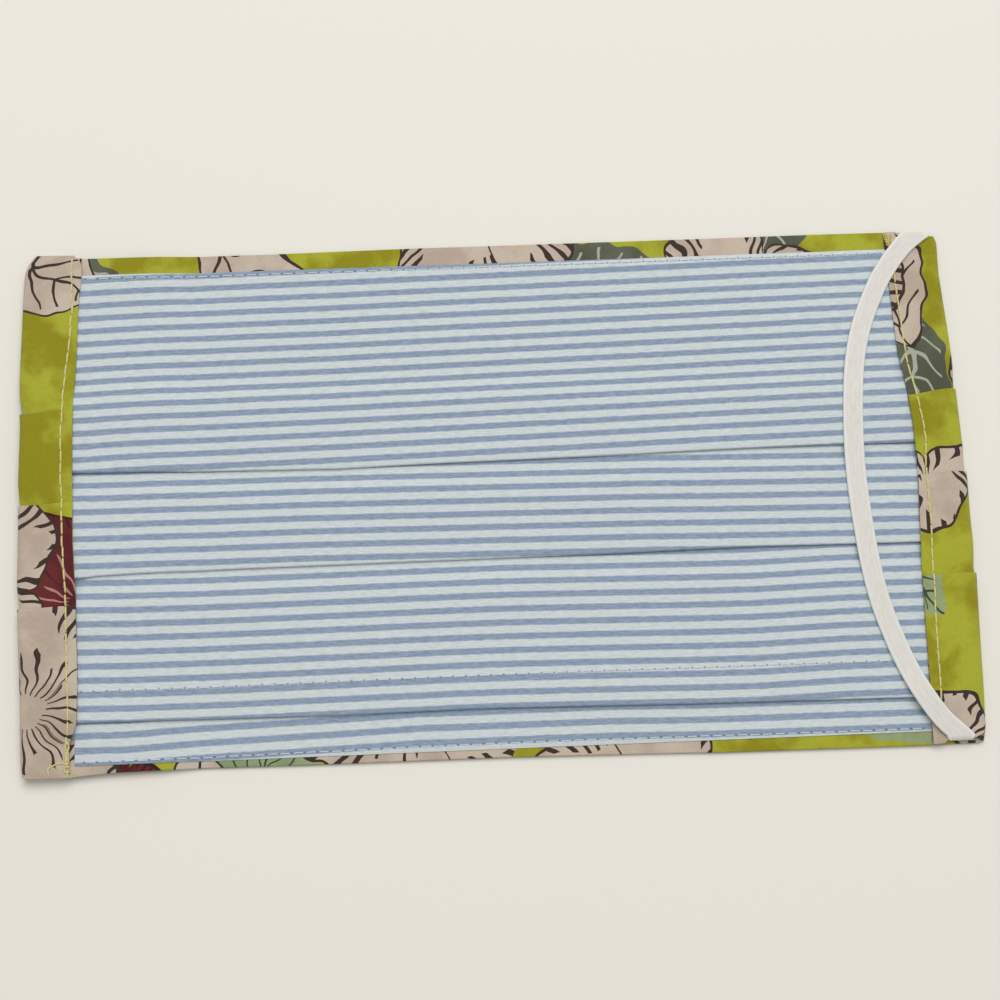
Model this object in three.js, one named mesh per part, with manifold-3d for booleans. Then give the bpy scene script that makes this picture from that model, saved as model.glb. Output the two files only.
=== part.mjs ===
// A pleated cloth face mask lying flat with its lining up. All lengths are millimetres.
// X runs along the pleats, +Y is up in the photographed view, and Z is up from the rest plane.
import * as THREE from "three";
import { mergeVertices } from "three/addons/utils/BufferGeometryUtils.js";
import Module from "manifold-3d";

const wasm = await Module();
wasm.setup();

// Overall size of the folded mask
const WIDTH = 190;
const HEIGHT = 106.3;

// Cloth walls, and the clearance between pieces and between the layers of one piece
const CLOTH = 1;
const GAP = 0.3;
const SLACK = 0.2;

// Three knife pleats. front is the fold seen from the outer side and back the fold seen on the lining.
// Each has its Y at the left and right casing.
const PLEATS = [
  { front: { left: 20.0, right: 17.8 }, back: { left: 6.9, right: 6.7 } },
  { front: { left: 0.9, right: 0.9 }, back: { left: -14.8, right: -14.0 } },
  { front: { left: -19.9, right: -19.9 }, back: { left: -43.0, right: -44.0 } },
];
const RAMP = 7; // the length over which a panel climbs onto the next pleat
const BEND_STEPS = 4;

// Heights of the middle of the outer cloth in its three layers, with and without the lining between them
const LAMINATE = 2 * CLOTH + GAP;
const LOW = CLOTH / 2;
const LINED = {
  back: 2 * LAMINATE + SLACK - CLOTH / 2,
  top: 2 * LAMINATE + 2 * SLACK + CLOTH / 2,
};
const BARE = { back: LOW + CLOTH + SLACK, top: LOW + 2 * (CLOTH + SLACK) };

// Hems of the outer cloth, turned over the long edges onto the lining side
const HEM = { top: 3.6, bottom: 1.9 };
const LINING_EDGE = { topLeft: 48.5, topRight: 49.4, bottom: -51.0 };

// Side casings: the cloth turns over the side edge and comes back over the elastic
const CASING_STEPS = 6;
const CASING_JOIN = 90; // |x| where the turned strip takes over from the pleated sheet
const JOIN_LAP = 0.3;
const FLAP_HEIGHTS = [
  { y: 53.15, z: 5.1 },
  { y: 36, z: 5.1 },
  { y: 26, z: 8.4 },
  { y: -24, z: 8.4 },
  { y: -32, z: 7.3 },
  { y: -44.5, z: 7.3 },
  { y: -51, z: 5.1 },
  { y: -53.15, z: 5.1 },
];
const LAP = { under: 1.2, over: 0.9 }; // step at each front fold, below and on the flap
const LEFT = {
  edge: [{ y: 53, x: 94.8 }, { y: 23, x: 95.3 }, { y: -18, x: 95.3 }, { y: -53, x: 94.8 }],
  inner: [{ y: 51, x: 82.8 }, { y: 10, x: 84.6 }, { y: -46, x: 83.1 }],
  liningMax: 84.4,
  bareFrom: 87.4,
  baseInset: 2.5,
  flapInset: 0,
};
const RIGHT = {
  edge: [{ y: 53, x: 94.6 }, { y: 17, x: 94.9 }, { y: -10, x: 95.4 }, { y: -53, x: 94.8 }],
  inner: [{ y: 51, x: 83.7 }, { y: 28, x: 84.2 }, { y: 8, x: 86.0 }, { y: -50, x: 84.2 }],
  liningMax: 85.8,
  bareFrom: 88.0,
  baseInset: 0,
  flapInset: 1.75,
};

// The left end of the mask lies on its own ear loop, which is folded under it
const LIFT = { height: 1.5, from: -58, to: -70 };

// Flat ribbed elastic, and where its middle runs in the right-hand casing and over the lining
const ELASTIC = { width: 4.2, thickness: 1.2, chamfer: 0.3, x: 90.2 };
const TUNNEL = [
  { y: 53, z: 3.2 },
  { y: 30, z: 3.2 },
  { y: 22, z: 4.3 },
  { y: -44.5, z: 4.3 },
  { y: -50, z: 3.2 },
  { y: -53, z: 3.2 },
];
const TUNNEL_STOPS = [-47, -38, -26, -13, 0, 11, 22, 30, 40, 47];
const ROUTE = [
  { x: 85.6, y: 47.6 },
  { x: 80.5, y: 40.9 },
  { x: 76.6, y: 31.9 },
  { x: 74.3, y: 22.0 },
  { x: 73.2, y: 9.0 },
  { x: 73.3, y: -4.0 },
  { x: 75.0, y: -21.0 },
  { x: 78.0, y: -32.5 },
  { x: 81.6, y: -41.5 },
  { x: 86.0, y: -48.2 },
];
const ROUTE_STEPS = 30;
const TURN_STEPS = 8;
const TURN_ANGLE = THREE.MathUtils.degToRad(42); // the elastic's swing as it folds over the casing's end
const OVER = [
  { y: 53, z: 6.2 },
  { y: 34, z: 6.2 },
  { y: 22, z: 8.4 },
  { y: -46.5, z: 8.4 },
  { y: -51.5, z: 6.2 },
  { y: -53, z: 6.2 },
];

// Colours of the pieces
const OUTER_COLOUR = 0xa5a82d;
const LINING_COLOUR = 0xb2bfd0;
const ELASTIC_COLOUR = 0xe2dccd;

// Value of a column at a place along a table, on straight lines between its rows
function along(rows, key, value, at) {
  const up = rows[0][key] < rows[rows.length - 1][key];
  const sorted = up ? rows : [...rows].reverse();
  if (at <= sorted[0][key]) return sorted[0][value];
  for (let i = 1; i < sorted.length; i++) {
    const a = sorted[i - 1];
    const b = sorted[i];
    if (at <= b[key]) return a[value] + ((b[value] - a[value]) * (at - a[key])) / (b[key] - a[key]);
  }
  return sorted[sorted.length - 1][value];
}

const mix = (a, b, t) => a + (b - a) * t;
const clamp01 = (t) => Math.min(1, Math.max(0, t));
const across = (ends, x) => mix(ends.left, ends.right, clamp01(x / WIDTH + 0.5));
const lift = (x) => LIFT.height * THREE.MathUtils.smoothstep(-x, -LIFT.from, -LIFT.to);

// Points of a half turn in the YZ plane from one height to another, bulging towards side
function halfTurn(centreY, fromZ, toZ, side) {
  const middle = (fromZ + toZ) / 2;
  const radius = Math.abs(fromZ - toZ) / 2;
  const start = fromZ > toZ ? Math.PI / 2 : -Math.PI / 2;
  const turn = fromZ > toZ ? -Math.PI : Math.PI;
  return Array.from({ length: BEND_STEPS + 1 }, (_, i) => {
    const angle = start + (turn * i) / BEND_STEPS;
    return new THREE.Vector2(centreY + side * radius * Math.cos(angle), middle + radius * Math.sin(angle));
  });
}

// Middle line of the outer cloth in the YZ plane at x, from one Y to another, through the three pleats
function pleatedLine(x, fromY, toY) {
  const side = x < 0 ? LEFT : RIGHT;
  const bare = clamp01((Math.abs(x) - side.liningMax) / (side.bareFrom - side.liningMax));
  const back = mix(LINED.back, BARE.back, bare);
  const top = mix(LINED.top, BARE.top, bare);
  const line = [new THREE.Vector2(fromY, LOW)];
  let free = fromY;
  for (const pleat of PLEATS) {
    const front = across(pleat.front, x);
    const nose = across(pleat.back, x);
    const head = front + SLACK;
    const foot = Math.min(front + RAMP, free - GAP);
    const backCentre = nose + LAMINATE + SLACK / 2;
    const frontCentre = front - (back - LOW) / 2 - CLOTH / 2;
    line.push(new THREE.Vector2(foot, LOW), new THREE.Vector2(head, top));
    line.push(...halfTurn(backCentre, top, back, -1));
    line.push(...halfTurn(frontCentre, back, LOW, 1));
    free = nose;
  }
  line.push(new THREE.Vector2(toY, LOW));
  return line;
}

// The line moved sideways by a distance: up while it runs towards -Y
function moved(line, distance) {
  return line.map((p, i) => {
    const before = i > 0 ? p.clone().sub(line[i - 1]).normalize() : null;
    const after = i < line.length - 1 ? line[i + 1].clone().sub(p).normalize() : null;
    const a = before ?? after;
    const b = after ?? before;
    const normal = new THREE.Vector2(a.y + b.y, -a.x - b.x).normalize();
    const reach = distance / Math.max(0.5, normal.x * a.y - normal.y * a.x);
    return new THREE.Vector2(p.x + normal.x * reach, p.y + normal.y * reach);
  });
}

// Closed outline of a wall between two distances from a line
const wall = (line, low, high) => [...moved(line, high), ...moved(line, low).reverse()];

// Closed solid through rings of points, with flat ends, or joined end to end
function loft(rings, closed = false) {
  const count = rings[0].length;
  const points = rings.flat();
  const faces = [];
  const last = closed ? rings.length : rings.length - 1;
  for (let j = 0; j < last; j++) {
    const here = j * count;
    const next = ((j + 1) % rings.length) * count;
    for (let i = 0; i < count; i++) {
      const k = (i + 1) % count;
      faces.push([here + i, here + k, next + k], [here + i, next + k, next + i]);
    }
  }
  if (!closed) {
    for (const [ring, flip] of [[0, true], [rings.length - 1, false]]) {
      const flat = rings[ring].map((p) => p.cap);
      const sense = THREE.ShapeUtils.area(flat);
      for (const [a, b, c] of THREE.ShapeUtils.triangulateShape(flat, [])) {
        const area = flat[b].clone().sub(flat[a]).cross(flat[c].clone().sub(flat[a]));
        const turned = area * sense > 0 === flip;
        const f = turned ? [a, c, b] : [a, b, c];
        faces.push(f.map((v) => v + ring * count));
      }
    }
  }
  let volume = 0;
  for (const [a, b, c] of faces) volume += points[a].dot(points[b].clone().cross(points[c]));
  const geometry = new THREE.BufferGeometry();
  const order = volume < 0 ? faces.map(([a, b, c]) => [a, c, b]) : faces;
  const positions = points.flatMap((p) => p.toArray());
  geometry.setAttribute("position", new THREE.Float32BufferAttribute(positions, 3));
  geometry.setIndex(order.flat());
  return mergeVertices(geometry);
}

// A point of a ring, which keeps its place in the flat section for the end caps
function ringPoint(x, y, z, capY, capZ) {
  const p = new THREE.Vector3(x, y, z);
  p.cap = new THREE.Vector2(capY, capZ);
  return p;
}

// Pleated outer sheet between the casings' turned strips, with its hems
function outerSheet() {
  const stations = [LEFT.bareFrom, LEFT.liningMax].map((x) => -x);
  stations.unshift(-CASING_JOIN - JOIN_LAP);
  stations.push(LIFT.to, mix(LIFT.to, LIFT.from, 1 / 3), mix(LIFT.to, LIFT.from, 2 / 3), LIFT.from);
  stations.push(-20, 20, 55, RIGHT.liningMax, RIGHT.bareFrom, CASING_JOIN + JOIN_LAP);
  const hemRadius = (CLOTH + GAP) / 2;
  const rings = stations.map((x) => {
    const side = x < 0 ? LEFT : RIGHT;
    const inset = Math.abs(x) >= side.bareFrom ? side.baseInset : 0;
    const edge = HEIGHT / 2 - inset;
    const centre = edge - hemRadius - CLOTH / 2;
    const hemZ = LOW + CLOTH + GAP;
    const topHem = [new THREE.Vector2(edge - HEM.top, hemZ), ...halfTurn(centre, hemZ, LOW, 1)];
    const bottomHem = [...halfTurn(-centre, LOW, hemZ, -1), new THREE.Vector2(HEM.bottom - edge, hemZ)];
    const line = [...topHem, ...pleatedLine(x, centre - GAP, GAP - centre), ...bottomHem];
    return wall(line, -CLOTH / 2, CLOTH / 2).map((p) => ringPoint(x, p.x, p.y + lift(x), p.x, p.y));
  });
  return loft(rings);
}

// Strip that carries the outer cloth round the side edge and back over the elastic
function casing(side, sign) {
  const folds = PLEATS.map((pleat) => (sign < 0 ? pleat.front.left : pleat.front.right));
  const stops = [];
  for (const row of FLAP_HEIGHTS) stops.push({ y: row.y, dip: 0 });
  for (const fold of folds) {
    stops.push({ y: fold + RAMP, dip: 0 }, { y: fold, dip: 1 }, { y: fold, dip: 0 });
  }
  stops.sort((a, b) => b.y - a.y || b.dip - a.dip);
  const climbing = (y) => folds.some((fold) => y > fold && y < fold + RAMP);
  const clean = stops.filter((s) => s.dip > 0 || !climbing(s.y));
  const ring = (place) => {
    const outside = clean.map((s) => place(s.y, s.dip, 0));
    const inside = clean.map((s) => {
      const atFold = folds.some((fold) => Math.abs(fold - s.y) < 1e-6);
      return place(atFold ? s.y - CLOTH : s.y, s.dip, CLOTH, s.y);
    });
    return [...inside, ...outside.reverse()];
  };
  const endY = (y, inset) => Math.sign(y) * Math.min(Math.abs(y), HEIGHT / 2 - inset);
  const raise = sign < 0 ? LIFT.height : 0;
  const rings = [];
  rings.push(
    ring((y, dip, depth) => {
      const h = dip * LAP.under + depth;
      const py = endY(y, side.baseInset);
      return ringPoint(sign * CASING_JOIN, py, h + raise, y, h);
    }),
  );
  for (let j = 0; j <= CASING_STEPS; j++) {
    const t = j / CASING_STEPS;
    const angle = Math.PI * t;
    rings.push(
      ring((y, dip, depth, heightY = y) => {
        const radius = along(FLAP_HEIGHTS, "y", "z", heightY) / 2;
        const h = dip * mix(LAP.under, LAP.over, t) + depth;
        const centre = along(side.edge, "y", "x", heightY) - radius;
        const x = centre + (radius - h) * Math.sin(angle);
        const z = radius - (radius - h) * Math.cos(angle);
        const py = endY(y, mix(side.baseInset, side.flapInset, t));
        return ringPoint(sign * x, py, z + raise, y, h);
      }),
    );
  }
  rings.push(
    ring((y, dip, depth, heightY = y) => {
      const z = along(FLAP_HEIGHTS, "y", "z", heightY) - dip * LAP.over - depth;
      const x = along(side.inner, "y", "x", heightY);
      const py = endY(y, side.flapInset);
      return ringPoint(sign * x, py, z + raise, y, z);
    }),
  );
  return loft(rings);
}

// Pleated lining, which follows the outer cloth and ends along the casings' inner edges
function liningSheet() {
  const inner = CLOTH / 2 + GAP;
  const stations = [-1, LIFT.to / WIDTH, -66 / WIDTH, -62 / WIDTH, LIFT.from / WIDTH, -0.1, 0.1, 0.3, 1];
  const rings = stations.map((share) => {
    const end = Math.abs(share) === 1;
    const side = share < 0 ? LEFT : RIGHT;
    const x = end ? share * (side.liningMax - GAP) : share * WIDTH;
    const topEdge = mix(LINING_EDGE.topLeft, LINING_EDGE.topRight, x / WIDTH + 0.5);
    const line = pleatedLine(x, topEdge, LINING_EDGE.bottom);
    return wall(line, inner, inner + CLOTH).map((p) => {
      const px = end ? share * (along(side.inner, "y", "x", p.x) - 2 * GAP) : x;
      return ringPoint(px, p.x, p.y + lift(px), p.x, p.y);
    });
  });
  return loft(rings);
}

// Rounded section of the elastic at a point, across w and through n
function elasticRing(p, w, n) {
  const half = { w: ELASTIC.width / 2, n: ELASTIC.thickness / 2 };
  const c = ELASTIC.chamfer;
  const corners = [
    [half.w, half.n - c], [half.w - c, half.n], [c - half.w, half.n], [-half.w, half.n - c],
    [-half.w, c - half.n], [c - half.w, -half.n], [half.w - c, -half.n], [half.w, c - half.n],
  ];
  return corners.map(([a, b]) => p.clone().addScaledVector(w, a).addScaledVector(n, b));
}

// Closed ear loop: through the casing, folded round its end, along the route and back round the other end
function earLoop({ sign, turnY, raise, outZ }) {
  const stops = [];
  const mouthZ = TUNNEL[0].z + raise;
  const overZ = outZ(turnY);
  for (const y of TUNNEL_STOPS) {
    const z = along(TUNNEL, "y", "z", y) + raise;
    stops.push({ p: new THREE.Vector3(ELASTIC.x, y, z), w: new THREE.Vector3(1, 0, 0) });
  }
  const turn = (end) => {
    const radius = (overZ - mouthZ) / 2;
    for (let i = 0; i <= TURN_STEPS; i++) {
      const t = i / TURN_STEPS;
      const swing = TURN_ANGLE * (end > 0 ? t : 1 - t);
      const forward = new THREE.Vector3(Math.sin(swing), end * Math.cos(swing), 0);
      const w = new THREE.Vector3(Math.cos(swing), -end * Math.sin(swing), 0);
      const phase = Math.PI * (end > 0 ? t : 1 - t);
      const p = new THREE.Vector3(ELASTIC.x, end * turnY, mouthZ + radius * (1 - Math.cos(phase)));
      stops.push({ p: p.addScaledVector(forward, Math.abs(radius) * Math.sin(phase)), w });
    }
  };
  turn(1);
  const ends = [1, -1].map((end) => new THREE.Vector3(ELASTIC.x, end * turnY, 0));
  const rows = ROUTE.map((row) => new THREE.Vector3(row.x, row.y, 0));
  const plan = new THREE.CatmullRomCurve3([ends[0], ...rows, ends[1]], false, "centripetal");
  for (let i = 1; i < ROUTE_STEPS; i++) {
    const p = plan.getPointAt(i / ROUTE_STEPS);
    const t = plan.getTangentAt(i / ROUTE_STEPS);
    p.z = outZ(p.y);
    stops.push({ p, w: new THREE.Vector3(-t.y, t.x, 0) });
  }
  turn(-1);
  const rings = stops.map(({ p, w }, i) => {
    const next = stops[(i + 1) % stops.length].p;
    const previous = stops[(i + stops.length - 1) % stops.length].p;
    const n = next.clone().sub(previous).cross(w).normalize();
    return elasticRing(p, w, n).map((q) => new THREE.Vector3(sign * q.x, q.y, q.z));
  });
  return loft(rings, true);
}

// One solid from several closed geometries
function joined(...geometries) {
  const solids = geometries.map((geometry) => {
    const merged = mergeVertices(geometry, 1e-3);
    const vertProperties = merged.attributes.position.array;
    const triVerts = new Uint32Array(merged.index.array);
    return new wasm.Manifold(new wasm.Mesh({ numProp: 3, vertProperties, triVerts }));
  });
  const mesh = solids.reduce((all, one) => all.add(one)).getMesh();
  const geometry = new THREE.BufferGeometry();
  geometry.setAttribute("position", new THREE.BufferAttribute(mesh.vertProperties, 3));
  geometry.setIndex(new THREE.BufferAttribute(mesh.triVerts, 1));
  return geometry;
}

function piece(name, geometry, colour, roughness) {
  const material = new THREE.MeshStandardMaterial({ color: colour, roughness, metalness: 0 });
  const mesh = new THREE.Mesh(geometry, material);
  mesh.name = name;
  return mesh;
}

const mask = new THREE.Group();
const outerCloth = joined(outerSheet(), casing(LEFT, -1), casing(RIGHT, 1));
mask.add(piece("outer_cloth", outerCloth, OUTER_COLOUR, 0.85));
mask.add(piece("lining", liningSheet(), LINING_COLOUR, 0.9));
const over = (y) => along(OVER, "y", "z", y);
const under = () => ELASTIC.thickness / 2;
const rightTurn = HEIGHT / 2 - RIGHT.flapInset + GAP;
const leftTurn = HEIGHT / 2 - LEFT.baseInset + GAP;
const rightLoop = earLoop({ sign: 1, turnY: rightTurn, raise: 0, outZ: over });
const leftLoop = earLoop({ sign: -1, turnY: leftTurn, raise: LIFT.height, outZ: under });
mask.add(piece("ear_loop_right", rightLoop, ELASTIC_COLOUR, 0.8));
mask.add(piece("ear_loop_left", leftLoop, ELASTIC_COLOUR, 0.8));

export default mask;
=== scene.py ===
"""Looks of the pleated cloth face mask: both cloths, elastic loops, stitches, floor and light.

Lengths are in millimetres in the tables and functions, and turn into metres where a mesh is made.
"""
from math import cos, pi, radians, sin, tau

import bpy
import numpy as np
from mathutils import Matrix, Vector
from mathutils.bvhtree import BVHTree


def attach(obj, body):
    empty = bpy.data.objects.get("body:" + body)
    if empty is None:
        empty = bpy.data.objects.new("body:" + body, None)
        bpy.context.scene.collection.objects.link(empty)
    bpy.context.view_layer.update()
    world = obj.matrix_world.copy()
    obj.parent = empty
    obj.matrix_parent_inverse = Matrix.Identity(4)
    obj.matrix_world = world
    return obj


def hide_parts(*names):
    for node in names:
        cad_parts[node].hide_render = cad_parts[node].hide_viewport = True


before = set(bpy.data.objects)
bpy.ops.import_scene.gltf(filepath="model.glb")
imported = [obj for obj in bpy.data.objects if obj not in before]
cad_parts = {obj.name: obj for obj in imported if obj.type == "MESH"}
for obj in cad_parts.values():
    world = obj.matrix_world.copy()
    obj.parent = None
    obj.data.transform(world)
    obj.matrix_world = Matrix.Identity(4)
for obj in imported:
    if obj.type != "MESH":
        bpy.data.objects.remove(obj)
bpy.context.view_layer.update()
MM = 0.001

# Camera, with its distance and target in mm and its angles in degrees
CAM = {"focal_px": 1800.0, "elevation": 77.81, "azimuth": -14.47, "roll": 12.2,
       "distance": 364.3, "target": (0.4, -1.0, 0.0), "sensor": 36.0, "frame_px": 1000.0}

# Y of the long edges, by X
TOP_EDGE = [(-95, 52.9), (-86, 52.7), (-83, 52.2), (-45, 52.4), (-15, 52.9), (45, 53.35), (70, 53.6),
            (84, 53.6), (95, 53.3)]
BOTTOM_EDGE = [(-95, -53.4), (-86, -53.3), (-82, -52.95), (-76, -52.6), (-60, -52.4), (-40, -52.6),
               (0, -52.7), (27, -53.15), (42, -53.5), (84, -53.8), (95, -53.6)]

# Thickness of the cloths, and the air between two layers
THICK = {"outer": 0.20, "lining": 0.18}
AIR = 0.02
# How far a cut edge bulges, as a share of the thickness
RIM = 0.42


def pleat_levels():
    """Mid-heights of the three layers of a pleat, for each cloth and for outer cloth that has no lining."""
    own, inner = THICK["outer"], THICK["lining"]
    step = (own + inner) / 2 + AIR
    low = own / 2
    lining_back = low + step + inner + AIR
    back = lining_back + step
    top = back + own + AIR
    return {
        "outer": {"low": low, "back": back, "top": top},
        "lining": {"low": low + step, "back": lining_back, "top": top + step},
        "bare": {"low": low, "back": low + own + AIR, "top": low + 2 * (own + AIR)},
    }


LEVELS = pleat_levels()
# How far a fold of the outer cloth reaches past the centre of its bend, with the lining in it and without
NOSE = {k: (LEVELS[k]["back"] - LEVELS[k]["low"] + THICK["outer"]) / 2 for k in ("outer", "bare")}

# Pleats: Y of the fold on the outer side at the left and right casing, and Y of the fold on the lining by X
PLEATS = [
    {"front": (20.0, 17.8),
     "back": [(-84, 6.9), (-52, 6.55), (-32, 6.3), (-11, 6.8), (29, 7.3), (54, 7.75), (86, 7.85)]},
    {"front": (0.9, 0.9),
     "back": [(-84, -14.6), (-80, -14.1), (-72, -13.8), (-52, -13.45), (-12, -13.2), (20, -13.1),
              (52, -12.7), (85, -12.9)]},
    {"front": (-19.9, -19.9),
     "back": [(-83, -42.9), (-60, -43.0), (-33, -43.3), (-5, -43.05), (38, -43.8), (85, -44.3)]},
]

# X of the casings, where the left and right values of a pair hold
SPAN = 84.0

# Where a panel rises to its fold on the outer side: length of the rise, and what it keeps clear of both folds
RAMP = {"length": 7.0, "before": 0.3, "after": 0.4}

# Tables by Y, from the top edge down. The first three give distances from the middle line.
# Side edges of the mask
EDGE = {
    "left": [(53, 92.6), (51.6, 93.9), (49.5, 94.7), (44, 95.0), (23, 95.7), (18, 95.3), (2, 95.7),
             (-1, 95.5), (-18, 95.6), (-26, 95.3), (-38, 94.8), (-51, 94.6), (-53, 94.3)],
    "right": [(53, 94.2), (51.8, 94.7), (44, 94.5), (36, 95.0), (30, 95.3), (24, 95.5), (17, 95.6),
              (8, 95.8), (1, 96.2), (-8, 96.0), (-20, 96.1), (-35, 95.5), (-51, 95.0), (-53, 94.4)],
}
# Inner edges of the turned casings
INNER = {
    "left": [(53, 85.3), (52.2, 84.2), (51.3, 83.5), (50.3, 83.25), (47.5, 83.3), (43.5, 83.8),
             (30, 84.3), (22, 84.8), (12, 84.9), (-7, 84.7), (-19, 84.0), (-36, 83.6), (-43.4, 83.8),
             (-44.4, 84.2), (-45.4, 84.9), (-46.9, 85.3), (-53, 85.4)],
    "right": [(53, 83.6), (36, 83.9), (28, 84.2), (22, 84.9), (12, 85.9), (3, 86.0), (-7, 85.5),
              (-21, 84.8), (-50, 84.2)],
}
# Lines of stitches along the casings
SEAM = {
    "left": [(53, 85.2), (41, 85.1), (33, 85.8), (21, 86.9), (6, 87.0), (-11, 86.5), (-19, 85.9),
             (-36, 85.5), (-44, 85.4), (-47, 85.8), (-53, 86.0)],
    "right": [(53, 85.0), (44, 84.9), (35, 85.4), (28, 85.6), (23, 86.2), (12, 87.9), (8, 88.1), (0, 87.5),
              (-11, 87.4), (-23, 86.9), (-53, 85.8)],
}
# Height of a casing at its fold, and at its inner edge
FLAP_OVER = [(53.6, 1.5), (48, 1.45), (34, 1.42), (26, 1.8), (20, 2.3), (-44, 2.3), (-48, 1.7),
             (-53.6, 1.5)]
FLAP_INNER = [(53.6, 1.1), (44, 0.85), (28, 0.85), (20, 1.98), (-43.5, 1.98), (-47, 1.2), (-53.6, 1.3)]
# Stretch over which a casing comes down from its height at the fold
DIP = 5.0
# How far a casing's side edge moves along Y, and the X from which it does
TILT_RISE = (85, 9)
FOLD_TILT = {"left": [(53, 0), (27, -0.3), (20, -0.8), (12, -0.5), (-53, 0)],
             "right": [(53, -0.8), (46, -0.2), (27, 0.5), (18, 1.1), (8, 0.5), (-53, 0)]}

# Rise of the left side over the loop that is folded under it, and the X between which it rises
LIFT = {"height": 0.9, "from": -58.0, "to": -70.0}

# Undulation of all layers: height, size of a lump, seed
WAVES = {"wide": (0.30, 34, 3), "narrow": (0.12, 13, 5), "crumple": (0.17, 5.5, 9), "pucker": (0.07, 3.2, 12)}

# Distance from the middle at which each undulation starts or ends, and the stretch over which it does
FADE = {"long edges": (53, 10), "wide": (92, 14), "crumple": (79, 6), "crumple end": (96, 3),
        "pucker": (66, 16), "pucker end": (88, 4)}
# Share of the undulation that is left at the long edges
EDGE_SHARE = 0.4

# Edges of the lining: Y of the top one at the left and right casing, Y of the bottom one, X of the ends
LINING_TOP = (48.35, 49.7)
LINING_BOTTOM = -51.0
LINING_END = 86.3

# Lower left end of the lining, which is pulled back: how far, where it starts and over what stretch
LINING_CORNER = {"pull": 2.1, "y": -44.5, "y_over": 1.5, "x": -80, "x_over": 6.3}

# Hems of the outer cloth: depth, air inside, and the stretch over which the lining climbs them
HEM = {"depth": 6.0, "air": 0.05, "margin": 1.5, "climb": 2.2}

# Steps across the pleats: their length on a panel that shows and one that doesn't, and their number
STEP = {"shown": 1.5, "hidden": 2.5, "ramp": 8, "fold": 8, "hem": 6, "flat_hem": 4}

# Stations along X: the middle part, the parts of a casing, and the X whose section the casings have
STATIONS = {"middle": 87.0, "count": 121, "base": 5, "first": 0.2, "arc": 9, "flap": 14, "section_x": 89.0,
            "lining": 141}

# The elastic: size, X inside the casings, ribs and their height, and the air under it
ELASTIC = {"width": 4.2, "thick": 0.8, "x": 89.6, "ribs": 5, "rib": 0.03, "air": 0.04}

# How far the ends of the casings stand back: depth, where it starts and over what stretch, and where it ends
END_INSET = {"depth": 1.1, "left": (86.5, 1.5), "right": (86.0, 1.8), "right_end": (95.2, 2.6),
             "end_y": (44, 8)}

# How far the stripes of each panel of the lining have shifted towards -Y, by X
DRIFT = [
    [(-82, 0.50), (-77, 0.38), (-60, 0.25), (-30, 0.30), (0, 0.20), (30, 0.18), (50, 0.09), (70, 0.12)],
    [(-82, 0.47), (-73, 0.36), (-60, 0.05), (-40, -0.26), (0, -0.35), (30, -0.35), (42, -0.16), (70, -0.10)],
    [(-82, 0.28), (-73, 0.47), (-50, 0.31), (-10, -0.05), (0, -0.05), (20, 0.22), (40, 0.57), (50, 0.66),
     (68, 0.20)],
    [(-82, -0.30), (-74, 0.05), (-60, -0.20), (-30, 0.05), (-10, 0.10), (20, -0.05), (38, 0.30)],
]

# First stripe of each panel: its number, Y at X of 0 and slope, and the pitch of the panel's stripes
STRIPES = [
    {"number": 0, "y": 27.84, "slope": 0.0197, "pitch": 2.69},
    {"number": 14, "y": 3.77, "slope": -0.012, "pitch": 2.73},
    {"number": 26, "y": -26.24, "slope": -0.0015, "pitch": 2.76},
    {"number": 40, "y": -46.34, "slope": 0.0, "pitch": 2.85},
]
# The last panel's stripes bend at one X, with a slope on each side
BEND = {"x": -17, "left": 0.033, "right": -0.006}


def smooth(t):
    t = np.clip(t, 0.0, 1.0)
    return t * t * (3 - 2 * t)


def rise(value, start, over):
    """0 up to start and 1 from there on, smoothly over a stretch."""
    return smooth((value - start) / over)


def fall(value, end, over):
    """0 from end on and 1 up to a stretch before it, smoothly."""
    return smooth((end - value) / over)


def table(rows, y):
    """Value of a table at y, on straight lines between its rows."""
    r = sorted(rows)
    return np.interp(y, [a for a, _ in r], [b for _, b in r])


def across(pair, x):
    t = np.clip(x / (2 * SPAN) + 0.5, -0.05, 1.05)
    return pair[0] + (pair[1] - pair[0]) * t


def noise(x, y, scale, seed):
    """Smooth value noise from -1 to 1, one lump every scale mm."""
    n = 64
    g = np.random.default_rng(seed).random((n, n)) * 2 - 1
    u, v = x / scale + 31.7, y / scale + 17.3
    i, j = np.floor(u).astype(int), np.floor(v).astype(int)
    a, b = smooth(u - i), smooth(v - j)
    at = lambda p, q: g[p % n, q % n]
    low = at(i, j) * (1 - a) + at(i + 1, j) * a
    high = at(i, j + 1) * (1 - a) + at(i + 1, j + 1) * a
    return low * (1 - b) + high * b


def lumps(x, y, name):
    """Height of one kind of undulation, 0 or more."""
    height, size, seed = WAVES[name]
    return height * (noise(x, y, size, seed) + 1)


def drape(x, y):
    """Height of the soft undulation that all layers share, and of the lift over the left loop.

    Crumples lie on the casings. Puckers run along X beside them.
    """
    lift = LIFT["height"] * smooth((x - LIFT["from"]) / (LIFT["to"] - LIFT["from"]))
    out = np.abs(x)
    edge = fall(np.abs(y), *FADE["long edges"]) * (1 - EDGE_SHARE) + EDGE_SHARE
    soft = lumps(x, y, "wide") + lumps(x, y, "narrow")
    crumple = lumps(x, y, "crumple") * rise(out, *FADE["crumple"]) * fall(out, *FADE["crumple end"])
    pucker = lumps(x / 3, y, "pucker") * rise(out, *FADE["pucker"]) * fall(out, *FADE["pucker end"])
    return lift + (soft * fall(out, *FADE["wide"]) + crumple + pucker) * edge


def steps(span, size, least):
    """Number of steps of about the given size in a span that varies along X."""
    return max(least, int(round(float(np.mean(span)) / size)))


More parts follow.
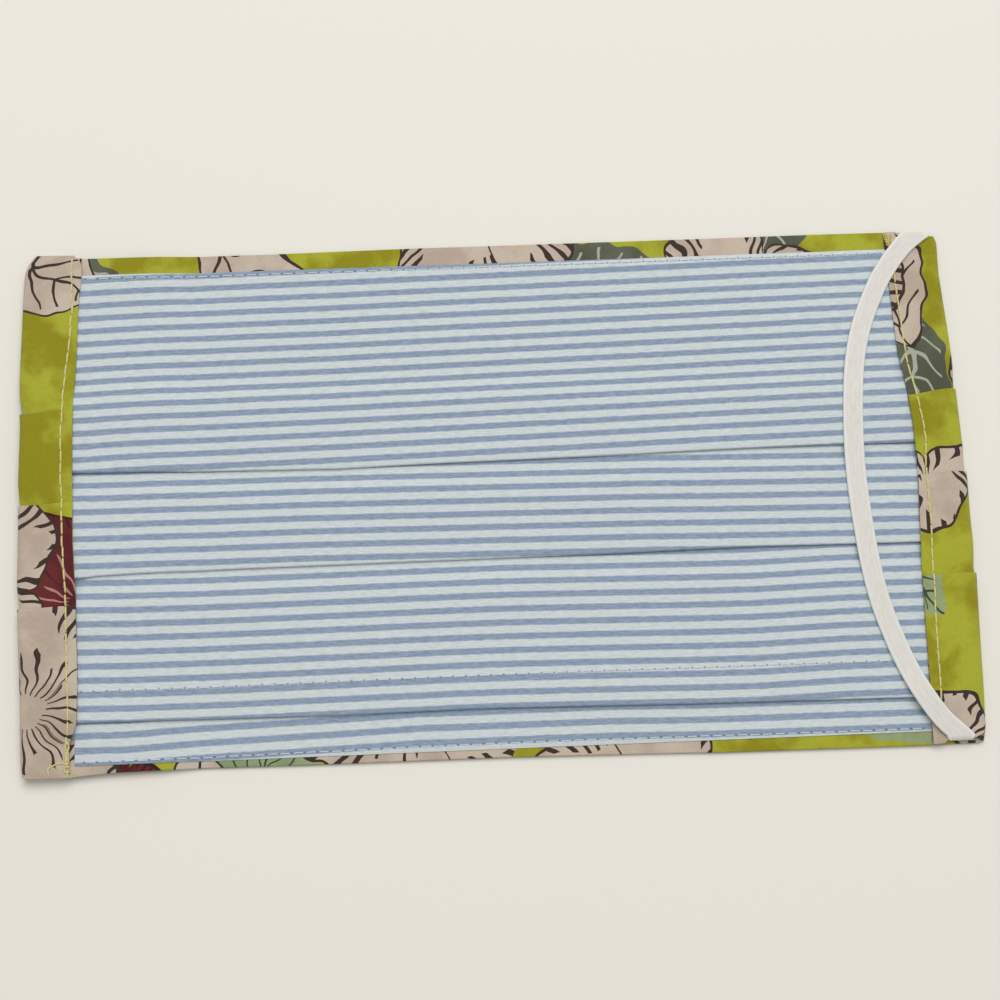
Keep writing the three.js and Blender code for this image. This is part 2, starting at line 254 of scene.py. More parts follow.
def section(cloth, x, start, end, hems):
    """Mid-line of one cloth across the pleats at each x: Y, height and number of the panel.

    start and end are the edges' Y at each x. hems says whether the line has the outer cloth's turned hems.
    """
    one = np.ones(len(x))
    bare = smooth((np.abs(x) - LINING_END + 0.3) / 2.4) if cloth == "outer" else 0 * one
    lv = {k: LEVELS[cloth][k] * (1 - bare) + LEVELS["bare"][k] * bare for k in ("low", "back", "top")}
    nose = NOSE["outer"] * (1 - bare) + NOSE["bare"] * bare
    cols_y, cols_z, cols_p = [], [], []

    def put(y, z, panel):
        cols_y.append(y * one)
        cols_z.append(z * one)
        cols_p.append(panel)

    def run(y0, y1, z, count, panel, ends=(False, False)):
        for k in range(count + 1):
            if (k == 0 and not ends[0]) or (k == count and not ends[1]):
                continue
            put(y0 + (y1 - y0) * k / count, z, panel)

    def fold(y, upper, lower, sense, panel, change):
        r = (upper - lower) / 2
        for i in range(STEP["fold"] + 1):
            a = pi / 2 - pi * i / STEP["fold"]
            past = change * (i > STEP["fold"] / 2)
            put(y + sense * r * cos(a), (upper + lower) / 2 + r * sin(a), panel + past)

    low = lv["low"]
    if hems:
        top_z = low + THICK["outer"] + HEM["air"]
        r = (top_z - low) / 2
        c = start - r - THICK["outer"] / 2
        run(start - HEM["depth"], c, top_z, STEP["flat_hem"], 0, (True, False))
        for k in range(STEP["hem"] + 1):
            a = pi / 2 - pi * k / STEP["hem"]
            put(c + r * cos(a), low + r + r * sin(a), 0)
        y_now = c
    else:
        put(start, low, 0)
        y_now = start * one
    for k, pleat in enumerate(PLEATS):
        front, back = across(pleat["front"], x), table(pleat["back"], x)
        head = front + RAMP["before"]
        foot = np.minimum(front + RAMP["length"], y_now - RAMP["after"])
        run(y_now, foot, low, steps(y_now - foot, STEP["shown"], 1), k, (False, True))
        for i in range(1, STEP["ramp"] + 1):
            t = i / STEP["ramp"]
            put(foot + (head - foot) * t, low + (lv["top"] - low) * smooth(t), k)
        cb, cf = back + nose, front - nose
        run(head, cb, lv["top"], steps(head - cb, STEP["shown"], 2), k)
        fold(cb, lv["top"], lv["back"], -1, k, 0.25)
        run(cb, cf, lv["back"], steps(cf - cb, STEP["hidden"], 2), k + 0.5)
        fold(cf, lv["back"], low, 1, k + 0.5, 0.5)
        run(cf, back, low, steps(cf - back, STEP["hidden"], 2), k + 1, (False, True))
        y_now = back
    if hems:
        c = end + r + THICK["outer"] / 2
        run(y_now, c, low, steps(y_now - c, STEP["shown"], 2), len(PLEATS))
        for k in range(STEP["hem"] + 1):
            a = -pi / 2 - pi * k / STEP["hem"]
            put(c + r * cos(a), low + r + r * sin(a), len(PLEATS))
        run(c, c + HEM["depth"], top_z, STEP["flat_hem"], len(PLEATS), (False, True))
    else:
        run(y_now, end, low, steps(y_now - end, STEP["shown"], 2), len(PLEATS), (False, True))
    return np.array(cols_y).T, np.array(cols_z).T, np.array(cols_p, float)


def flat_length(y, z):
    """Distance along the cloth from the first column, row by row."""
    d = np.hypot(np.diff(y, axis=1), np.diff(z, axis=1))
    return np.concatenate([np.zeros((len(y), 1)), np.cumsum(d, axis=1)], axis=1)


def unit(v):
    """Vectors of length 1, in the direction of those along the last axis."""
    return v / np.maximum(np.linalg.norm(v, axis=-1, keepdims=True), 1e-9)


def run_of(p):
    """Distance along a line of points from its first."""
    return np.concatenate([[0], np.cumsum(np.linalg.norm(np.diff(p, axis=0), axis=1))])


def closed_cloth(name, mid, thick, attributes):
    """A closed wall round a grid of mid points, with rounded rims.

    attributes maps a name to values on the grid.
    """
    n = unit(np.cross(np.gradient(mid, axis=0), np.gradient(mid, axis=1)))
    rows, cols = mid.shape[:2]
    up, down = mid + n * thick / 2, mid - n * thick / 2
    ring = [(i, 0) for i in range(rows)] + [(rows - 1, j) for j in range(1, cols)]
    ring += [(i, cols - 1) for i in range(rows - 2, -1, -1)] + [(0, j) for j in range(cols - 2, 0, -1)]
    ri, rj = np.array(ring).T
    inside = np.array([(min(max(i, 1), rows - 2), min(max(j, 1), cols - 2)) for i, j in ring]).T
    out = unit(mid[ri, rj] - mid[inside[0], inside[1]])
    rims = [mid[ri, rj] + out * thick * RIM * cos(a) + n[ri, rj] * thick / 2 * sin(a)
            for a in (pi / 4, 0, -pi / 4)]
    points = np.concatenate([up.reshape(-1, 3), down.reshape(-1, 3), *rims])
    grid = np.arange(rows * cols).reshape(rows, cols)
    a, b, c, d = grid[:-1, :-1], grid[1:, :-1], grid[1:, 1:], grid[:-1, 1:]
    top = np.stack([a, b, c, d], -1).reshape(-1, 4)
    bottom = np.stack([a, d, c, b], -1).reshape(-1, 4) + rows * cols
    loops = [grid[ri, rj]]
    for k in range(3):
        loops.append(2 * rows * cols + k * len(ring) + np.arange(len(ring)))
    loops.append(grid[ri, rj] + rows * cols)
    rim = [np.stack([lo, hi, np.roll(hi, -1), np.roll(lo, -1)], -1) for lo, hi in zip(loops, loops[1:])]
    faces = np.concatenate([top, bottom, *rim])
    source = np.concatenate([grid.ravel(), grid.ravel()] + [grid[ri, rj]] * 3)
    values = {key: value.reshape(-1, 3)[source] for key, value in attributes.items()}
    return piece(name, points, faces.tolist(), values)


def add(name, data):
    """A new object in the scene."""
    o = bpy.data.objects.new(name, data)
    bpy.context.scene.collection.objects.link(o)
    return o


def piece(name, points, faces, attributes):
    """A smooth mesh of points in mm. attributes maps a name to a vector for each point."""
    mesh = bpy.data.meshes.new(name)
    mesh.from_pydata((points * MM).tolist(), [], faces)
    for key, values in attributes.items():
        data = mesh.attributes.new(key, "FLOAT_VECTOR", "POINT").data
        data.foreach_set("vector", values.astype(np.float32).ravel())
    mesh.shade_smooth()
    return add(name, mesh)


def outer_cloth():
    """The outer cloth with its pleats, hems and turned side casings, as one grid."""
    middle = STATIONS["middle"]
    turned = [("base", t) for t in np.linspace(STATIONS["first"], 1, STATIONS["base"])]
    turned += [(kind, t) for kind in ("arc", "flap") for t in np.linspace(0, 1, STATIONS[kind])[1:]]
    stations = [("left", *s) for s in reversed(turned)]
    stations += [("main", "base", x) for x in np.linspace(-middle, middle, STATIONS["count"])]
    stations += [("right", *s) for s in turned]
    casing_x = {"left": -STATIONS["section_x"], "right": STATIONS["section_x"]}
    section_x = np.array([casing_x.get(side, t) for side, _, t in stations])
    y, h, _ = section("outer", section_x, table(TOP_EDGE, section_x), table(BOTTOM_EDGE, section_x), True)
    v = flat_length(y, h)
    x, z, u = np.zeros_like(y), np.zeros_like(y), np.zeros_like(y)
    for i, (side, kind, t) in enumerate(stations):
        yy, hh = y[i], h[i]
        if side == "main":
            x[i], z[i], u[i] = t, hh, t
            continue
        sign = -1 if side == "left" else 1
        over = table(FLAP_OVER, yy)
        radius = over / 2
        centre = table(EDGE[side], yy) - radius
        inner = table(INNER[side], yy)
        if kind == "base":
            px = middle + (centre - middle) * t
            pz, pu = hh, px
        elif kind == "arc":
            a = pi * t
            px, pz = centre + (radius - hh) * sin(a), radius - (radius - hh) * cos(a)
            pu = centre + radius * a
        else:
            px = centre + (inner - centre) * t
            dip = rise(px, inner, DIP)
            pz = over * dip + table(FLAP_INNER, yy) * (1 - dip) - hh
            pu = centre + radius * pi + (centre - px)
        share = {"base": 0.0, "arc": t, "flap": 1.0}[kind]
        if side == "right":
            inset = rise(px, *END_INSET["right"]) * fall(px, *END_INSET["right_end"]) * share
        else:
            inset = rise(px, *END_INSET["left"]) * (1 - share)
        inset = END_INSET["depth"] * inset * rise(np.abs(yy), *END_INSET["end_y"])
        x[i], z[i], u[i] = sign * px, pz, sign * pu
        y[i] = yy - np.sign(yy) * inset + table(FOLD_TILT[side], yy) * rise(px, *TILT_RISE)
    z += drape(x, y)
    mid = np.stack([x, y, z], -1)
    flat = np.stack([u, v, 0 * u], -1)
    cut = ((u[-1] - u[0]).mean() * MM, v[:, -1].mean() * MM)
    return closed_cloth("mask_outer_cloth", mid, THICK["outer"], {"flat": flat}), cut


def stripes(x, y, panel):
    """Stripe coordinate of the lining: whole numbers at the middle of each blue stripe."""
    from_bend = x - BEND["x"]
    starts = [first["y"] + first["slope"] * x for first in STRIPES]
    starts[-1] = starts[-1] + np.where(from_bend < 0, BEND["left"] * from_bend, BEND["right"] * from_bend)
    rows = [first["number"] + (start - table(drift, x) - y) / first["pitch"]
            for first, start, drift in zip(STRIPES, starts, DRIFT)]
    return np.choose(np.clip(np.floor(panel + 0.6).astype(int), 0, len(rows) - 1), rows)


def lining():
    """The lining with its pleats and its ends under the casings, as one grid."""
    x0 = np.linspace(-1, 1, STATIONS["lining"]) * LINING_END
    y, h, panel = section("lining", x0, across(LINING_TOP, x0), LINING_BOTTOM, False)
    edges = np.where(y > 0, table(TOP_EDGE, x0)[:, None], -table(BOTTOM_EDGE, x0)[:, None])
    over_hem = rise(np.abs(y), edges - HEM["depth"] - HEM["margin"], HEM["climb"])
    over_hem = over_hem * ((panel[None, :] == 0) | (panel[None, :] == len(PLEATS)))
    h = h + over_hem * (THICK["outer"] + HEM["air"])
    x = np.repeat(x0[:, None], y.shape[1], 1)
    corner = LINING_CORNER
    x = x + corner["pull"] * fall(y, corner["y"], corner["y_over"]) * fall(x, corner["x"], corner["x_over"])
    z = h + drape(x, y)
    mid = np.stack([x, y, z], -1)
    flat = np.stack([x, flat_length(y, h), stripes(x, y, panel[None, :] + 0 * x)], -1)
    place = np.stack([x, y, 0 * x + panel[None, :]], -1)
    cut = ((x[-1] - x[0]).mean() * MM, flat[:, -1, 1].mean() * MM)
    return closed_cloth("mask_lining", mid, THICK["lining"], {"flat": flat, "place": place}), cut


def camera():
    """The camera at the photograph's angle and distance, rolled as the photograph is."""
    e, a, r = (radians(CAM[k]) for k in ("elevation", "azimuth", "roll"))
    back = Vector((sin(a) * cos(e), -cos(a) * cos(e), sin(e)))
    right = Vector((cos(a), sin(a), 0))
    up = back.cross(right)
    rolled_right = cos(r) * right + sin(r) * up
    rolled_up = -sin(r) * right + cos(r) * up
    data = bpy.data.cameras.new("camera")
    data.lens = CAM["focal_px"] / CAM["frame_px"] * CAM["sensor"]
    data.sensor_width = CAM["sensor"]
    data.clip_start = 0.01
    cam = add("camera", data)
    m = Matrix((rolled_right, rolled_up, back)).transposed().to_4x4()
    m.translation = (Vector(CAM["target"]) + back * CAM["distance"]) * MM
    cam.matrix_world = m
    bpy.context.scene.camera = cam


camera()


# Materials

class Nodes:
    """Short calls for building a node tree."""

    def __init__(self, name):
        self.material = bpy.data.materials.new(name)
        self.material.use_nodes = True
        self.tree = self.material.node_tree
        self.tree.nodes.clear()
        self.out = self.new("ShaderNodeOutputMaterial")

    def new(self, kind, inputs=(), **settings):
        """A node with its settings, and its inputs in order or by name."""
        node = self.tree.nodes.new(kind)
        for key, value in settings.items():
            setattr(node, key, value)
        for key, value in inputs.items() if isinstance(inputs, dict) else enumerate(inputs):
            socket = node.inputs[key]
            if isinstance(value, bpy.types.NodeSocket):
                self.tree.links.new(value, socket)
            else:
                socket.default_value = (*value, 1) if socket.type == "RGBA" else value
        return node

    def math(self, op, *values):
        return self.new("ShaderNodeMath", values, operation=op).outputs[0]

    def add(self, a, b):
        return self.math("ADD", a, b)

    def sub(self, a, b):
        return self.math("SUBTRACT", a, b)

    def mul(self, a, b):
        return self.math("MULTIPLY", a, b)

    def div(self, a, b):
        return self.math("DIVIDE", a, b)

    def abs(self, a):
        return self.math("ABSOLUTE", a)

    def less(self, a, b):
        return self.math("LESS_THAN", a, b)

    def more(self, a, b):
        return self.math("GREATER_THAN", a, b)

    def mix(self, share, a, b):
        return self.new("ShaderNodeMix", {0: share, 6: a, 7: b}, data_type="RGBA").outputs[2]

    def ramp(self, value, low, high):
        """0 at low and 1 at high, smoothly."""
        inputs = (value, low, high, 0.0, 1.0)
        return self.new("ShaderNodeMapRange", inputs, interpolation_type="SMOOTHSTEP").outputs[0]

    def vector(self, op, *values):
        return self.new("ShaderNodeVectorMath", values, operation=op).outputs[0]

    def scale(self, vector, factor):
        return self.new("ShaderNodeVectorMath", {0: vector, "Scale": factor}, operation="SCALE").outputs[0]

    def spin(self, vector, angle):
        inputs = {"Vector": vector, "Angle": angle}
        return self.new("ShaderNodeVectorRotate", inputs, rotation_type="Z_AXIS").outputs[0]

    def split(self, vector):
        return self.new("ShaderNodeSeparateXYZ", (vector,)).outputs

    def combine(self, x, y, z=0.0):
        return self.new("ShaderNodeCombineXYZ", (x, y, z)).outputs[0]

    def attribute(self, name):
        """An attribute of the mesh: the vector, then its three parts."""
        vector = self.new("ShaderNodeAttribute", attribute_name=name).outputs["Vector"]
        return vector, *self.split(vector)

    def noise(self, vector, scale, detail=2.0, rough=0.5):
        inputs = {"Vector": vector, "Scale": scale, "Detail": detail, "Roughness": rough}
        return self.new("ShaderNodeTexNoise", inputs).outputs[0]

    def finish(self, colour, height=None, strength=0.3, distance=0.1, rough=0.9, sheen=0.2):
        inputs = {"Base Color": colour, "Roughness": rough, "Specular IOR Level": 0.25,
                  "Sheen Weight": sheen, "Sheen Roughness": 0.6}
        if height is not None:
            bump = {"Strength": strength, "Distance": distance * MM, "Height": height}
            inputs["Normal"] = self.new("ShaderNodeBump", bump).outputs[0]
        shader = self.new("ShaderNodeBsdfPrincipled", inputs)
        self.tree.links.new(shader.outputs[0], self.out.inputs[0])
        return self.material


def srgb(r, g, b):
    """Linear colour from 0-255 display values."""
    return tuple(((v / 255 + 0.055) / 1.055) ** 2.4 if v > 10 else v / 255 / 12.92 for v in (r, g, b))


# Display colours, 0 to 255. A pair holds the two ends of a cloth's uneven tone.
# The lining's colour for its needle holes is painted shade.
LINING_COLOUR = {"blue": ((128, 146, 168), (152, 167, 184)), "white": ((198, 206, 208), (215, 221, 221)),
                 "shaded_hole": (84, 98, 128)}
PRINT_COLOUR = {
    "ground": ((168, 170, 46), (143, 136, 14)),
    "ink": (58, 44, 38),
    "green leaf": ((152, 164, 120), (134, 150, 108)),
    "green vein": (62, 72, 54),
    "grey leaf": ((96, 98, 80), (80, 82, 66)),
    "grey vein": (168, 170, 150),
    "red blossom": ((102, 38, 36), (84, 22, 26)),
    "red line": (60, 14, 18),
    "red ray": (196, 140, 132),
    "pale leaf": ((200, 185, 168), (184, 166, 148)),
    "pale blossom": ((200, 183, 165), (182, 164, 146)),
}
# The elastic's rim colour is a painted highlight, and its groove colour is painted shade between the ribs.
ELASTIC_COLOUR = {"band": ((217, 213, 204), (227, 223, 216)), "rim": (232, 232, 226),
                  "groove_shade": (190, 184, 168)}
THREAD_COLOUR = {"white": (226, 230, 236), "yellow": (232, 224, 150), "gold": (222, 200, 118),
                 "olive": (196, 196, 90)}
FLOOR_COLOUR = (237, 233, 223)


def pair(colours):
    """Both ends of an uneven tone, as linear colours."""
    return [srgb(*c) for c in colours]


def weave(n, x, y, pitch):
    """Height of a plain weave: warp and weft threads that pass over each other in turn."""
    u, v = n.div(x, pitch), n.div(y, pitch)
    wave_u = n.math("SINE", n.mul(u, pi))
    wave_v = n.math("SINE", n.mul(v, pi))
    over = n.ramp(n.mul(wave_u, wave_v), -0.25, 0.25)
    warp = n.mul(n.abs(wave_u), over)
    weft = n.mul(n.abs(wave_v), n.sub(1.0, over))
    return n.add(warp, weft)


# Stitch length, and the three lines of stitches on the lining: their ends, panel, inset from the edge or Y,
# and the height and spread of their waver
STITCH = 2.5
LINING_SEAMS = {
    "top": {"from": -82.5, "to": 84.0, "panel": 0, "inset": 0.75},
    "middle": {"from": -83.0, "to": 84.0, "panel": 2, "y": -36.7, "waver": 0.15, "spread": 30.0},
    "bottom": {"from": -82.5, "to": 84.0, "panel": 3, "y": LINING_BOTTOM + 0.8, "waver": 0.25,
               "spread": 26.0},
}
# A needle hole, a dimple with painted shade in it: where it is darkest and where it ends, its squash across
# the seam, and its reach in panels
HOLE = {"inner": 0.12, "outer": 0.36, "squash": 1.4, "panel_reach": 0.6}


def needle_holes(n, x, y, panel):
    """Mask of small dimples where the three lines of stitches dive into the lining, which get painted shade.
    """
    slope = (LINING_TOP[1] - LINING_TOP[0]) / (2 * SPAN)
    total = None
    for seam in LINING_SEAMS.values():
        if "inset" in seam:
            line_y = n.math("MULTIPLY_ADD", x, slope, (LINING_TOP[1] + LINING_TOP[0]) / 2 - seam["inset"])
        else:
            wave = n.math("COSINE", n.div(x, seam["spread"]))
            line_y = n.math("MULTIPLY_ADD", wave, seam["waver"], seam["y"])
        share = n.math("FRACT", n.div(n.sub(x, seam["from"] - STITCH / 2), STITCH))
        dx = n.mul(n.sub(share, 0.5), STITCH)
        dy = n.sub(y, line_y)
        far = n.math("SQRT", n.add(n.mul(dx, dx), n.mul(n.mul(dy, dy), HOLE["squash"])))
        shaded_hole = n.sub(1.0, n.ramp(far, HOLE["inner"], HOLE["outer"]))
        off_panel = n.abs(n.sub(panel, float(seam["panel"])))
        shaded_hole = n.mul(shaded_hole, n.less(off_panel, HOLE["panel_reach"]))
        total = shaded_hole if total is None else n.math("MAXIMUM", total, shaded_hole)
    return total


def lining_material():
    """Striped cotton with a weave, uneven thread and needle holes with painted shade in them."""
    n = Nodes("striped_cotton")
    _, x, v, c = n.attribute("flat")
    _, place_x, place_y, panel = n.attribute("place")
    wobble = n.noise(n.combine(n.mul(x, 0.35), v), 1.6, 2.0)
    wobble = n.mul(n.sub(wobble, 0.5), 0.10)
    phase = n.add(c, wobble)
    away = n.abs(n.sub(phase, n.math("ROUND", phase)))
    blue = n.sub(1.0, n.ramp(away, 0.17, 0.29))
    streak = n.noise(n.combine(n.mul(x, 0.4), n.mul(v, 3.0)), 1.2, 2.0, 0.5)
    slub = n.noise(n.combine(n.mul(x, 3.2), v), 1.2, 3.0, 0.6)
    tone = n.add(n.mul(streak, 0.65), n.mul(slub, 0.35))
    uneven = n.ramp(tone, 0.36, 0.64)
    deep = n.mix(uneven, *pair(LINING_COLOUR["blue"]))
    pale = n.mix(uneven, *pair(LINING_COLOUR["white"]))
    colour = n.mix(blue, pale, deep)
    holes = needle_holes(n, place_x, place_y, panel)
    # Painted shade in the needle holes, darkening the stripes there
    colour = n.mix(n.mul(holes, 0.6), colour, srgb(*LINING_COLOUR["shaded_hole"]))
    height = n.add(weave(n, x, v, 0.30), tone)
    height = n.sub(height, n.mul(holes, 3.0))
    return n.finish(colour, height, strength=0.28, distance=0.08, rough=0.92, sheen=0.15)


def scatter(n, flat, size, turn, seed, jitter=0.2):
    """One scattered motif in each cell of a square grid: coordinates in mm, and a share of the cell's own."""
    moved = n.vector("ADD", n.scale(n.spin(flat, turn), 1 / size), (seed * 7.31, seed * 3.77, 0))
    cell = n.vector("ADD", n.vector("FLOOR", moved), (0.5, 0.5, seed))
    white = n.new("ShaderNodeTexWhiteNoise", {"Vector": cell}, noise_dimensions="3D")
    shares = n.new("ShaderNodeSeparateColor", (white.outputs["Color"],)).outputs
    off = n.combine(*(n.math("MULTIPLY_ADD", share, jitter, -jitter / 2) for share in shares[:2]))
    middle = n.vector("SUBTRACT", n.vector("FRACTION", moved), (0.5, 0.5, 0))
    spun = n.spin(n.vector("SUBTRACT", middle, off), n.mul(shares[2], tau))
    x, y, _ = n.split(n.scale(spun, size))
    return x, y, shares[1]


def leaf(n, x, y, length, width, veins, slant):
    """Masks of a pointed leaf that lies along x, middle at 0: inside, all lines, and the veins alone."""
    t = n.div(x, length / 2)
    d = n.abs(n.div(y, width / 2))
    f = n.sub(n.add(d, n.mul(t, t)), 1.0)
    mm = n.mul(f, width / 2)
    inside = n.less(mm, 0.0)
    line = n.less(n.abs(mm), 0.30)
    rib = n.less(n.abs(y), 0.26)
    saw = n.math("FRACT", n.mul(n.sub(t, n.mul(d, slant)), veins))
    vein = n.mul(n.less(n.abs(n.sub(saw, 0.5)), 0.07), n.less(mm, -width * 0.09))
    ink = n.mul(n.math("MAXIMUM", rib, vein), inside)
    return inside, n.math("MAXIMUM", line, ink), ink


def blossom(n, x, y, radius, petals, depth, hatch):
    """Masks of a round flower, middle at 0: inside, lines and strokes at the rim, and rays at the heart."""
    r = n.math("SQRT", n.add(n.mul(x, x), n.mul(y, y)))
    a = n.math("ARCTAN2", y, x)
    wave = n.math("POWER", n.abs(n.math("COSINE", n.mul(a, petals / 2))), 0.55)
    edge = n.mul(n.math("MULTIPLY_ADD", wave, depth, 1 - depth), radius)
    gap = n.sub(r, edge)
    inside = n.less(gap, 0.0)
    line = n.less(n.abs(gap), 0.32)
    between = n.less(n.mul(n.sub(wave, 0.16), r), 0.0)
    split = n.mul(between, n.more(r, radius * 0.2))
    rays = n.more(n.math("SINE", n.mul(a, petals * hatch)), 0.72)
    ragged = n.math("MULTIPLY_ADD", n.math("SINE", n.mul(a, petals * 2.0)), 0.10, 0.48)
    rays = n.mul(rays, n.less(r, n.mul(edge, ragged)))
    rays = n.mul(rays, n.more(r, radius * 0.17))
    strokes = n.more(n.math("SINE", n.mul(a, petals * 11)), 0.35)
    reach = n.math("MULTIPLY_ADD", n.math("SINE", n.mul(a, petals * 1.5 + 0.5)), 0.13, 0.84)
    strokes = n.mul(strokes, n.more(r, n.mul(edge, reach)))
    line = n.math("MAXIMUM", line, n.mul(n.math("MAXIMUM", split, strokes), inside))
    return inside, line, n.mul(rays, inside)


# Motifs of the print, from the lowest layer up: the cell of their grid, its turn and seed, the share of
# cells that hold one, the shape with its sizes, and the colour and strength of its outer and inner lines
MOTIFS = {
    "green leaf": {"cell": 60, "turn": 2.6, "seed": 31, "share": 0.5, "shape": leaf,
                   "sizes": (36, 20, 4.0, 0.8), "lines": (("ink", 0), ("green vein", 1.0))},
    "grey leaf": {"cell": 46, "turn": 1.1, "seed": 4, "share": 0.7, "shape": leaf,
                  "sizes": (36, 15, 3.5, 0.35), "lines": (("ink", 0), ("grey vein", 1.0))},
    "red blossom": {"cell": 64, "turn": 2.0, "seed": 9, "share": 0.4, "shape": blossom,
                    "sizes": (21, 9, 0.22, 3), "lines": (("red line", 1.0), ("red ray", 0.8))},
    "pale leaf": {"cell": 50, "turn": 0.2, "seed": 27, "share": 0.7, "shape": leaf,
                  "sizes": (40, 20, 3.5, 0.5), "lines": (("ink", 1.0), ("ink", 0))},
    "pale blossom": {"cell": 58, "turn": 0.5, "seed": 12, "share": 0.85, "shape": blossom,
                     "sizes": (24, 5, 0.30, 5), "lines": (("ink", 1.0), ("ink", 1.0))},
}


def outer_material():
    """Botanical print: blossoms and leaves scattered on a lime ground, with brown ink lines."""
    n = Nodes("printed_cotton")
    flat, x, v, _ = n.attribute("flat")
    wander = n.new("ShaderNodeTexNoise", {"Vector": flat, "Scale": 0.14, "Detail": 1.2})
    shift = n.vector("SUBTRACT", wander.outputs["Color"], (0.5, 0.5, 0.5))
    hand = n.vector("ADD", flat, n.vector("MULTIPLY", shift, (5.5, 5.5, 0.0)))
    # Soft lime and olive patches, at random over the ground
    patches = n.noise(flat, 0.085, 2.0, 0.5)
    fine = n.noise(flat, 0.40, 2.0, 0.6)
    tone = n.add(n.mul(patches, 0.8), n.mul(fine, 0.2))
    colour = n.mix(n.ramp(tone, 0.42, 0.60), *pair(PRINT_COLOUR["ground"]))
    uneven = n.ramp(tone, 0.40, 0.62)
    for name, motif in MOTIFS.items():
        motif_x, motif_y, share = scatter(n, hand, motif["cell"], motif["turn"], motif["seed"])
        there = n.less(share, motif["share"])
        inside, *lines = motif["shape"](n, motif_x, motif_y, *motif["sizes"])
        colour = n.mix(n.mul(inside, there), colour, n.mix(uneven, *pair(PRINT_COLOUR[name])))
        for line, (line_name, strength) in zip(lines, motif["lines"]):
            if strength:
                colour = n.mix(n.mul(n.mul(line, there), strength), colour, srgb(*PRINT_COLOUR[line_name]))
    thread = n.noise(n.combine(n.mul(x, 2.6), v), 1.2, 2.0, 0.6)
    value = n.math("MULTIPLY_ADD", thread, 0.30, 0.86)
    light = n.new("ShaderNodeHueSaturation", {"Color": colour, "Value": value})
    height = weave(n, x, v, 0.33)
    return n.finish(light.outputs[0], height, strength=0.35, distance=0.10, rough=0.9, sheen=0.12)


def thread_material(name):
    """Twisted thread: a spiral that is lower between its strands, with painted shade there."""
    n = Nodes(name + "_thread")
    _, s, a, _ = n.attribute("flat")
    colour = srgb(*THREAD_COLOUR[name])
    twist = n.math("SINE", n.mul(n.add(n.div(s, 0.34), a), tau))
    # Painted shade between the strands, at 0.62 of the thread's colour
    shade = n.mix(n.ramp(twist, -0.9, 0.6), tuple(c * 0.62 for c in colour), colour)
    return n.finish(shade, twist, strength=0.3, distance=0.04, rough=0.7, sheen=0.2)


def elastic_material():
    """Knitted elastic with satin ribs, painted shade in the grooves between them and a painted highlight
    along its rims.
    """
    n = Nodes("ribbed_elastic")
    _, s, w, _ = n.attribute("flat")
    rib = n.mul(w, ELASTIC["ribs"])
    side = n.mul(n.abs(n.sub(n.math("FRACT", rib), 0.5)), 2.0)
    loops = n.add(n.div(s, 0.30), n.mul(side, 0.45))
    knit = n.math("SINE", n.mul(loops, tau))
    # Painted shade in the grooves between the ribs
    groove_shade = n.ramp(side, 0.70, 1.0)
    # Painted highlight along both edges of the band
    rim = n.ramp(n.abs(n.sub(w, 0.5)), 0.30, 0.46)
    fuzz = n.noise(n.combine(n.mul(s, 0.25), n.mul(w, 6.0)), 1.6, 3.0, 0.6)
    band = n.mix(n.ramp(fuzz, 0.3, 0.7), *pair(ELASTIC_COLOUR["band"]))
    colour = n.mix(rim, band, srgb(*ELASTIC_COLOUR["rim"]))
    colour = n.mix(n.mul(groove_shade, 0.12), colour, srgb(*ELASTIC_COLOUR["groove_shade"]))
    height = n.add(n.mul(knit, 0.35), n.mul(fuzz, 0.6))
    return n.finish(colour, height, strength=0.18, distance=0.05, rough=0.55, sheen=0.3)


outer, outer_cut = outer_cloth()
inner, inner_cut = lining()
outer.data.materials.append(outer_material())
inner.data.materials.append(lining_material())


def tree_of(*objects):
    """One BVH tree, in mm, of several meshes."""
    points, faces = [], []
    for o in objects:
        base = len(points)
        points += [tuple(c / MM for c in v.co) for v in o.data.vertices]
        faces += [tuple(i + base for i in f.vertices) for f in o.data.polygons]
    return BVHTree.FromPolygons(points, faces)


cloth = tree_of(outer, inner)
RAY_START = 60.0


def top_at(x, y, missing=0.45):
    """Height of the cloth's upper face, or missing beside it."""
    hit = cloth.ray_cast(Vector((x, y, RAY_START)), Vector((0, 0, -1)))
    return hit[0].z if hit[0] else missing


def under_at(x, y, missing=0.0):
    """Height of the cloth's lower face, or missing beside it."""
    hit = cloth.ray_cast(Vector((x, y, -RAY_START)), Vector((0, 0, 1)))
    return hit[0].z if hit[0] else missing


def curve_through(rows, step):
    """Points every step mm or so along a smooth curve through rows."""
    p = np.array(rows, float)
    p = np.vstack([2 * p[0] - p[1], p, 2 * p[-1] - p[-2]])
    out = []
    for i in range(1, len(p) - 2):
        n = max(2, int(np.linalg.norm(p[i + 1] - p[i]) / step))
        for t in np.arange(n) / n:
            out.append(0.5 * (2 * p[i] + (p[i + 1] - p[i - 1]) * t
                              + (2 * p[i - 1] - 5 * p[i] + 4 * p[i + 1] - p[i + 2]) * t ** 2
                              + (3 * p[i] - p[i - 1] - 3 * p[i + 1] + p[i + 2]) * t ** 3))
    return np.array(out + [p[-2]])


# Rounds that bridge the hollows under a band, and rounds that smooth it
SETTLE = {"bridge": 60, "smooth": 4}


def settle(z, rounds):
    """Heights that touch the bumps below them and bridge the hollows, as a stiff band does."""
    out = z.copy()
    for _ in range(rounds):
        out[1:-1] = np.maximum(z[1:-1], (out[:-2] + out[2:]) / 2)
    for _ in range(SETTLE["smooth"]):
        out[1:-1] = np.maximum(out[1:-1], (out[:-2] + 2 * out[1:-1] + out[2:]) / 4)
    return out


